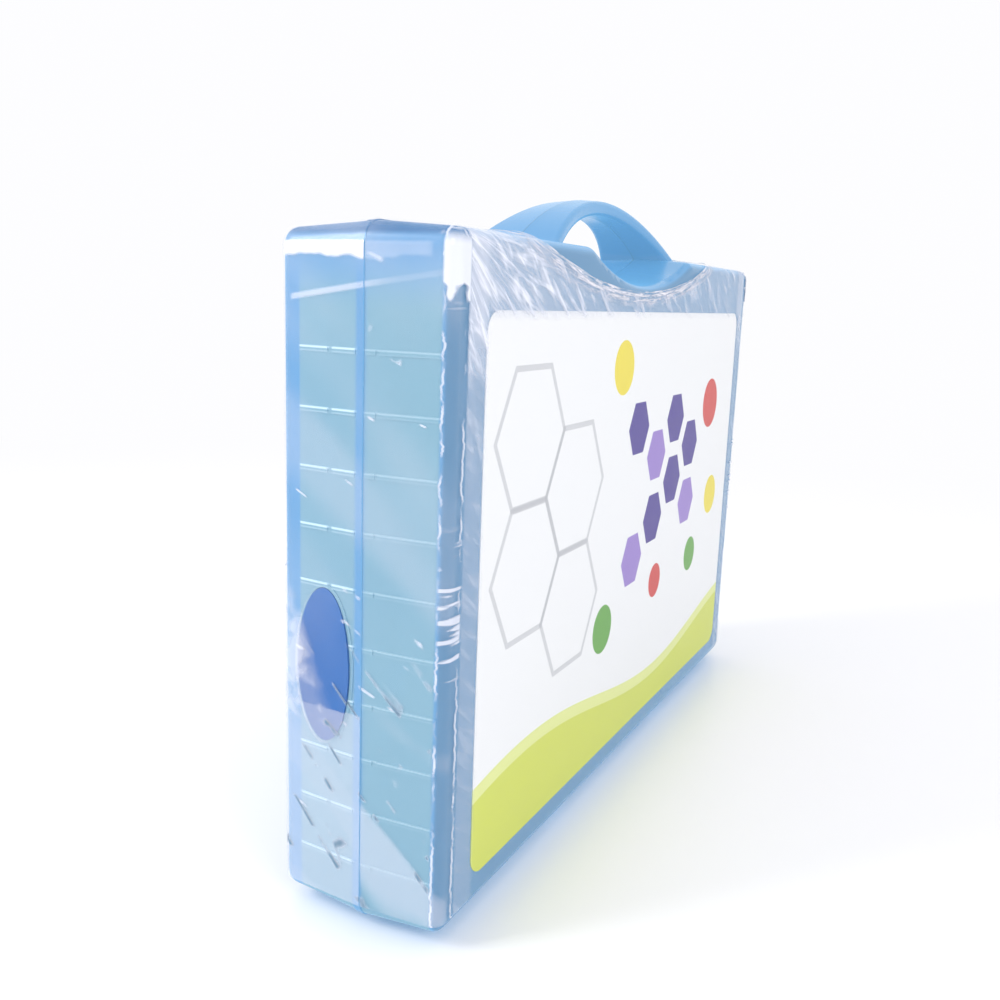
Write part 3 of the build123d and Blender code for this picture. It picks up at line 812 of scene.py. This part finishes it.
@dataclass
class FilmHem:
    """Crumpled rim of the wrap round the handle opening, on one half, in metres.

    The strip follows the skin of the wrap, which runs from the parting plane over the drafted top, round
    the top edge and down the face. A length along that bent profile tells how far down a point is.
    """

    half: Half
    parting_y: float = -0.0032
    stand_off: float = 0.0009
    top_z: float = 0.3065
    edge_r: float = 0.006
    draft: float = math.tan(math.radians(3.8))
    open_r: float = 0.437
    open_x: float = -0.0165
    open_z: float = 0.2828
    width: float = 0.009
    overhang: float = 0.0015
    crumple: float = 0.0008
    lift_off: float = 0.0001
    parting_gap: float = 0.0004
    side_share: float = 0.14
    run: float = 0.32
    look: float = 0.004
    uv_pitch: float = 30.0
    fine_pitch: Pair = (70.0, 7.0)
    broad_pitch: Pair = (28.0, 2.6)
    long_steps: int = 420
    wide_steps: int = 14

    @property
    def radius(self) -> float:
        """Radius of the skin round the top edge."""
        return self.edge_r + self.stand_off

    @property
    def outer(self) -> float:
        """Distance of the face's skin from the parting plane."""
        return self.half.depth + self.stand_off

    @property
    def top(self) -> float:
        """Height of the skin at the parting plane."""
        return self.top_z + self.stand_off

    @property
    def bend_z(self) -> float:
        """Height of the middle of the round of the top edge."""
        return self.top - self.outer * self.draft - self.radius

    def surface(self, x: float, reach: float) -> tuple[Vector, Vector]:
        """Finds a point of the skin.

        Args:
            x: Place along the width.
            reach: Length along the profile from the parting plane.

        Returns:
            The point and its outward unit normal.
        """
        sign = self.half.sign
        flat = self.outer - self.radius
        if reach < flat:
            return (Vector((x, self.parting_y + sign * reach, self.top - reach * self.draft)),
                    Vector((0.0, 0.0, 1.0)))
        bend = (reach - flat) / self.radius
        if bend < math.pi / 2:
            normal = Vector((0.0, sign * math.sin(bend), math.cos(bend)))
            centre = Vector((x, self.parting_y + sign * flat, self.bend_z))
            return centre + normal * self.radius, normal
        down = reach - flat - self.radius * math.pi / 2
        return (Vector((x, self.parting_y + sign * self.outer, self.bend_z - down)),
                Vector((0.0, sign, 0.0)))

    def reach_at(self, z: float) -> float:
        """Finds how far down the profile the face, or its rounded edge, has a height.

        Args:
            z: The height.

        Returns:
            The length along the profile.
        """
        flat = self.outer - self.radius
        if z <= self.bend_z:
            return flat + self.radius * math.pi / 2 + (self.bend_z - z)
        return flat + self.radius * math.acos(min(1.0, (z - self.bend_z) / self.radius))

    def path(self, share: float) -> tuple[float, float]:
        """Follows the cut edge from one end of the opening to the other.

        Args:
            share: 0 at the parting plane on the left, 1 at the parting plane on the right.

        Returns:
            The place as x and a length along the profile.
        """
        half_open = math.sqrt(self.open_r ** 2 - (self.open_r + self.open_z - self.top) ** 2)
        if share < self.side_share:
            return self.open_x - half_open, self.reach_at(self.top) * share / self.side_share
        if share > 1.0 - self.side_share:
            return self.open_x + half_open, self.reach_at(self.top) * (1.0 - share) / self.side_share
        turn = (share - self.side_share) / (1.0 - 2.0 * self.side_share) * 2.0 - 1.0
        x = self.open_x + half_open * turn
        z = self.open_z + self.open_r - math.sqrt(self.open_r ** 2 - (x - self.open_x) ** 2)
        return x, self.reach_at(z)

    def build(self, material: bpy.types.Material) -> bpy.types.Object:
        """Builds the hem.

        Args:
            material: Its finish.

        Returns:
            The new piece.
        """
        mesh = bmesh.new()
        bmesh.ops.create_grid(mesh, x_segments=self.long_steps, y_segments=self.wide_steps, size=0.5)
        flow = mesh.loops.layers.uv.new("flow")
        places = {vert: (vert.co.x + 0.5, vert.co.y + 0.5) for vert in mesh.verts}
        for face in mesh.faces:
            for loop in face.loops:
                along, across = places[loop.vert]
                loop[flow].uv = (along * self.run * self.uv_pitch, across)
        for vert, (along, across) in places.items():
            vert.co = self.place(along, across)
        if self.half is Half.BASE:
            bmesh.ops.reverse_faces(mesh, faces=mesh.faces)
        bmesh.ops.smooth_vert(mesh, verts=mesh.verts, factor=0.35, use_axis_x=True, use_axis_y=True,
                              use_axis_z=True)
        piece = to_object(mesh, f"film_hem_{self.half.body}", material)
        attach(piece, self.half.body)
        LOG.info("hem of the wrap on the %s", self.half.body)
        return piece

    def place(self, along: float, across: float) -> Vector:
        """Places one point of the crumpled strip.

        Args:
            along: Share of the way along the cut edge.
            across: 0 on the overhanging rim, 1 on the side away from the opening.

        Returns:
            The point.
        """
        share = min(max(along, 0.0), 1.0)
        x, low = self.path(share)
        x2, low2 = self.path(min(share + self.look, 1.0))
        x1, low1 = self.path(max(share - self.look, 0.0))
        run = Vector((x2 - x1, low2 - low1, 0.0)).normalized()
        side = Vector((-run.y, run.x, 0.0))
        offset = across * (self.width + self.overhang) - self.overhang
        point, normal = self.surface(x + side.x * offset, max(low + side.y * offset, self.parting_gap))
        fine = self.wrinkle(along, across, self.fine_pitch, 0.0)
        broad = self.wrinkle(along, across, self.broad_pitch, 7.0)
        lift = (abs(fine) * 0.8 + abs(broad) * 1.6) * self.crumple * (1.15 - across)
        return point + normal * (self.lift_off + lift)

    def wrinkle(self, along: float, across: float, pitch: Pair, seed: float) -> float:
        """Smooth random value of a point of the strip, at a pitch along and across it."""
        return noise.noise(Vector((along * self.run * pitch[0], across * pitch[1], seed + self.half.sign)))


# --------------------------------------------------------------------------------- latch springs


@dataclass
class LatchSpring:
    """Round-wire coil behind one latch button, in metres. The coil shortens as the button goes in, but this
    piece is built at one length.
    """

    side: str
    turns: int = 5
    steps_a_turn: int = 24
    wire_r: float = 0.0004
    wire_sides: int = 10
    travel: float = 0.0025
    end_gap: float = 0.00005

    def build(self, material: bpy.types.Material) -> bpy.types.Object:
        """Builds the coil in the place of its node.

        Args:
            material: Its finish.

        Returns:
            The new piece.
        """
        node = f"latch_spring_{self.side}"
        low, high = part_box(node)
        middle = (low + high) / 2.0
        coil_r = (high.z - low.z) / 2.0 - self.wire_r
        start, end = low.x + self.wire_r + self.end_gap, high.x - self.wire_r - self.end_gap
        mesh = bmesh.new()
        first = Matrix.Translation((start, middle.y, middle.z + coil_r))
        bmesh.ops.create_circle(
            mesh, segments=self.wire_sides, radius=self.wire_r, cap_ends=False,
            matrix=first @ Matrix.Rotation(math.pi / 2, 4, "X"))
        steps = self.turns * self.steps_a_turn
        bmesh.ops.spin(
            mesh, geom=mesh.verts[:] + mesh.edges[:], cent=(start, middle.y, middle.z), axis=(1.0, 0.0, 0.0),
            dvec=((end - start) / steps, 0.0, 0.0), angle=2.0 * math.pi * self.turns, steps=steps)
        ends = [edge for edge in mesh.edges if edge.is_boundary]
        bmesh.ops.holes_fill(mesh, edges=ends, sides=self.wire_sides)
        bmesh.ops.recalc_face_normals(mesh, faces=mesh.faces)
        self.sort_faces(mesh)
        piece = to_object(mesh, f"latch_coil_{self.side}", material)
        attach(piece, "case")
        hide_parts(node)
        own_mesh(piece)
        return piece

    @staticmethod
    def sort_faces(mesh: bmesh.types.BMesh) -> None:
        """Puts the faces in order of their points, because spin leaves them in another order each run."""
        mesh.verts.index_update()
        count = len(mesh.verts)
        spans = {face: [vert.index for vert in face.verts] for face in mesh.faces}
        mesh.faces.sort(key=lambda face: min(spans[face]) * count + max(spans[face]))


# ---------------------------------------------------------------------------------------- studio


@dataclass(frozen=True)
class SoftBox:
    """One soft light: where it stands and what it points at, its width and height, and its watts."""

    name: str
    place: Triple
    aim: Triple
    size: Pair
    power: float

    def build(self) -> None:
        """Adds the light."""
        data = bpy.data.lights.new(self.name, "AREA")
        data.shape = "RECTANGLE"
        data.size, data.size_y = self.size
        data.energy = self.power
        direction = Vector(self.aim) - Vector(self.place)
        turn = direction.to_track_quat("-Z", "Y").to_matrix().to_4x4()
        link(self.name, data).matrix_world = Matrix.Translation(self.place) @ turn


@dataclass
class Studio:
    """Pale floor, white surround, soft lights and the camera. All but the floor's fade is in metres."""

    eye: Triple = (-0.55369, -0.23526, 0.27745)
    right: Triple = (0.4617, -0.8864, 0.0348)
    up: Triple = (0.1583, 0.1209, 0.9800)
    focal_pixels: float = 1004.44
    picture_pixels: float = 1000.0
    sensor_mm: float = 36.0
    nearest: float = 0.01
    floor_reach: float = 30.0
    floor_fade: Span = (350.0, 1500.0)
    floor: Colour = (0.93, 0.93, 0.95)
    white: Colour = (0.985, 0.985, 1.0)
    boxes: tuple[SoftBox, ...] = (
        SoftBox("back_strip", (-1.12, 1.0, 1.02), (-0.22, 0.02, 0.29), (0.5, 0.8), 13.0),
        SoftBox("corner_box", (-1.0, -1.5, 1.05), (-0.22, -0.04, 0.29), (0.6, 0.7), 6.0),
        SoftBox("front_box", (0.5, -2.2, 1.2), (0.0, 0.0, 0.15), (1.4, 1.4), 3.0),
    )

    def camera(self) -> None:
        """Sets the camera at the photograph's viewing angle."""
        data = bpy.data.cameras.new("camera")
        data.sensor_width = self.sensor_mm
        data.lens = self.sensor_mm * self.focal_pixels / self.picture_pixels
        data.clip_start = self.nearest
        holder = link("camera", data)
        right = Vector(self.right).normalized()
        back = right.cross(Vector(self.up)).normalized()
        up = back.cross(right)
        turn = Matrix((right, up, back)).transposed().to_4x4()
        holder.matrix_world = Matrix.Translation(self.eye) @ turn
        bpy.context.scene.camera = holder

    def backdrop(self) -> None:
        """Builds the floor, which fades into the white surround a short way from the case."""
        mesh = bmesh.new()
        bmesh.ops.create_grid(mesh, x_segments=1, y_segments=1, size=self.floor_reach)
        shader = Shader("studio_floor")
        x, y, _ = shader.axes()
        reach = (x * x + y * y) ** 0.5
        lit = shader.node("ShaderNodeBsdfPrincipled", None, {
            "Base Color": (*self.floor, 1.0), "Roughness": 0.35})
        glow = shader.node("ShaderNodeEmission", None, {"Color": (*self.white, 1.0), "Strength": 1.0})
        blend = shader.node("ShaderNodeMixShader", None, {0: reach.ramp(*self.floor_fade), 1: lit, 2: glow})
        shader.close(blend)
        to_object(mesh, "studio_floor", shader.material)

    def surround(self) -> None:
        """Lights the scene evenly from all sides."""
        world = bpy.data.worlds.new("studio")
        world.use_nodes = True
        sky = world.node_tree.nodes["Background"]
        sky.inputs["Color"].default_value = (*self.white, 1.0)
        sky.inputs["Strength"].default_value = 1.0
        bpy.context.scene.world = world

    def build(self) -> None:
        """Sets up the studio."""
        self.camera()
        self.backdrop()
        self.surround()
        for box in self.boxes:
            box.build()
        bpy.context.scene.view_settings.view_transform = "Standard"


def link(name: str, data: bpy.types.ID) -> bpy.types.Object:
    """Puts data into the scene as an object at the origin."""
    made = bpy.data.objects.new(name, data)
    bpy.context.scene.collection.objects.link(made)
    return made


def to_object(mesh: bmesh.types.BMesh, name: str, material: bpy.types.Material) -> bpy.types.Object:
    """Turns a bmesh into an object with smooth shading that sits at the origin.

    Args:
        mesh: The finished bmesh, which is freed.
        name: The object's name.
        material: Its material.

    Returns:
        The new object.
    """
    data = bpy.data.meshes.new(name)
    mesh.to_mesh(data)
    mesh.free()
    data.materials.append(material)
    data.shade_smooth()
    return link(name, data)


def dress(node: str, material: bpy.types.Material) -> None:
    """Gives a frame node its material."""
    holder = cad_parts[node]
    holder.data.materials.clear()
    holder.data.materials.append(material)
    LOG.info("dressed %s with %s", node, material.name)


class Case:
    """The case's own nodes, each dressed in its finish."""

    def finishes(self) -> dict[str, bpy.types.Material]:
        """Builds the finishes.

        Returns:
            Each finish by the word in a node's name that asks for it. The last word is empty, and so
            takes the nodes that no other word took: the pins, springs and screws.
        """
        return {
            "shell": CasePlastic().build(),
            "button": OpaquePlastic("button_blue", (0.002, 0.11, 0.39), (0.004, 0.13, 0.43)).build(),
            "tray": OpaquePlastic("tray_white", (0.74, 0.80, 0.84), (0.66, 0.74, 0.79), 0.5).build(),
            "bracket": OpaquePlastic("bracket_grey", (0.32, 0.35, 0.38), (0.28, 0.31, 0.34), 0.5).build(),
            "label": LabelPrint().build(),
            "film": ShrinkFilm().build(),
            "": Steel().build(),
        }

    def build(self) -> None:
        """Dresses every node."""
        finishes = self.finishes()
        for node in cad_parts:
            key = next(word for word in finishes if word in node)
            dress(node, finishes[key])


def main() -> None:
    """Builds the looks in order."""
    Studio().build()
    Case().build()
    edge = CutEdge().build()
    for half in Half:
        FilmHem(half).build(edge)
    steel = Steel("coil_steel").build()
    for side in ("left", "right"):
        LatchSpring(side).build(steel)


if __name__ == "__main__":
    logging.basicConfig(level=logging.INFO, format="%(message)s")
    main()
